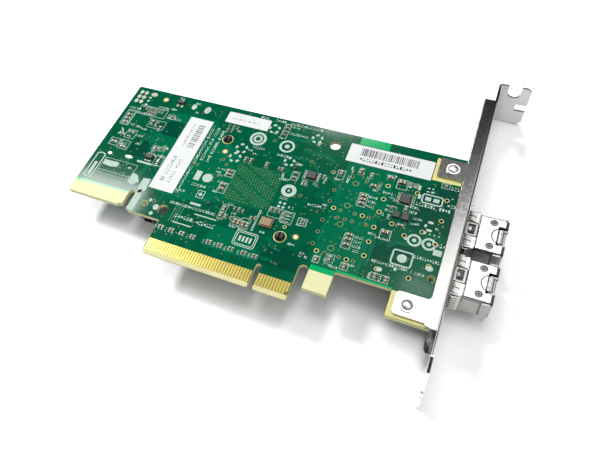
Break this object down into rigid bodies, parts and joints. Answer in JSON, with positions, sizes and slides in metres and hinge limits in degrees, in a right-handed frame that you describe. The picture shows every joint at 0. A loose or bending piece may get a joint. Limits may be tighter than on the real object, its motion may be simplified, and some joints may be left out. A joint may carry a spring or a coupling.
{
  "type": "network interface card",
  "caption": "Low-profile network card with pluggable fibre modules in a full-height slot bracket; plugs into a server card slot.",
  "frame": {"origin": "centre of the key notch at the bottom edge of the edge connector, on the solder-side face of the board", "axes": "+X along the edge connector towards the bracket, +Y away from the edge connector, +Z out of the solder side of the board"},
  "size_m": [0.148, 0.12, 0.0196],
  "materials": {
    "board": "green solder mask, semi-gloss",
    "gold": "gold plated",
    "steel": "zinc plated steel sheet",
    "screw_steel": "bright zinc",
    "cage_steel": "nickel plated sheet",
    "spring_copper": "nickel plated copper alloy",
    "zinc_cast": "nickel plated zinc casting",
    "black_plastic": "moulded",
    "module_board_mask": "green solder mask",
    "bail_metal": "satin casting",
    "sink_black": "black anodised",
    "thermal_grey": "soft pad",
    "ic_black": "moulded epoxy",
    "spring_steel": "spring wire",
    "capacitor_body": "tan ceramic, tinned ends",
    "resistor_body": "black film on ceramic, tinned ends",
    "oscillator_metal": "gold plated lid on ceramic",
    "inductor_grey": "pressed powder",
    "can_aluminium": "drawn can",
    "clear_plastic": "clear moulded",
    "led_white": "moulded",
    "label_white": "printed label"
  },
  "bodies": {
    "card": {"bracket": "steel", "bracket_nuts": "screw_steel", "bracket_screws": "screw_steel", "buffer_ic": "ic_black", "cage_lower": "cage_steel", "cage_upper": "cage_steel", "ceramic_capacitors_component_side": "capacitor_body", "ceramic_capacitors_solder_side": "capacitor_body", "controller_ic": "ic_black", "edge_contacts_component_side": "gold", "edge_contacts_solder_side": "gold", "emi_collar_lower": "spring_copper", "emi_collar_upper": "spring_copper", "flash_memory": "ic_black", "heat_sink": "sink_black", "heat_sink_push_pins": "black_plastic", "heat_sink_springs": "spring_steel", "host_connector_lower": "black_plastic", "host_connector_upper": "black_plastic", "host_contacts_lower": "gold", "host_contacts_upper": "gold", "label_barcode": "label_white", "label_long": "label_white", "label_small": "label_white", "light_pipes": "clear_plastic", "management_ic": "ic_black", "module_board_lower": "module_board_mask", "module_board_upper": "module_board_mask", "module_body_lower": "zinc_cast", "module_body_upper": "zinc_cast", "module_cover_lower": "cage_steel", "module_cover_upper": "cage_steel", "module_head_screws_lower": "screw_steel", "module_head_screws_upper": "screw_steel", "module_receiver_lower": "zinc_cast", "module_receiver_upper": "zinc_cast", "module_receptacle_lower": "black_plastic", "module_receptacle_upper": "black_plastic", "module_transmitter_lower": "zinc_cast", "module_transmitter_upper": "zinc_cast", "oscillator": "oscillator_metal", "pcb": "board", "polymer_capacitors": "can_aluminium", "port_logic_ic": "ic_black", "power_inductors": "inductor_grey", "power_switch_ic": "ic_black", "resistors_component_side": "resistor_body", "resistors_solder_side": "resistor_body", "sensor_ic": "ic_black", "side_header": "black_plastic", "status_leds": "led_white", "thermal_pad": "thermal_grey", "transistors_solder_side": "ic_black", "voltage_regulators": "ic_black"},
    "bail_upper": {"bail_upper": "bail_metal"},
    "latch_upper": {"latch_upper": "cage_steel"},
    "bail_lower": {"bail_lower": "bail_metal"},
    "latch_lower": {"latch_lower": "cage_steel"}
  },
  "joints": [
    {"name": "bail_swing_upper", "type": "hinge", "parent": "card", "child": "bail_upper", "pos_m": [0.0675, 0.04345, -0.00325], "axis": [0, -1, 0], "range_deg": [0, 90]},
    {"name": "latch_rock_upper", "type": "hinge", "parent": "card", "child": "latch_upper", "pos_m": [0.0645, 0.04345, -0.0031], "axis": [0, -1, 0], "range_deg": [0, 5.4]},
    {"name": "bail_swing_lower", "type": "hinge", "parent": "card", "child": "bail_lower", "pos_m": [0.0675, 0.0262, -0.00325], "axis": [0, -1, 0], "range_deg": [0, 90]},
    {"name": "latch_rock_lower", "type": "hinge", "parent": "card", "child": "latch_lower", "pos_m": [0.0645, 0.0262, -0.0031], "axis": [0, -1, 0], "range_deg": [0, 5.4]}
  ],
  "couplings": [
    {"joint": "latch_rock_upper", "follows": "bail_swing_upper", "ratio": 0.06},
    {"joint": "latch_rock_lower", "follows": "bail_swing_lower", "ratio": 0.06}
  ]
}
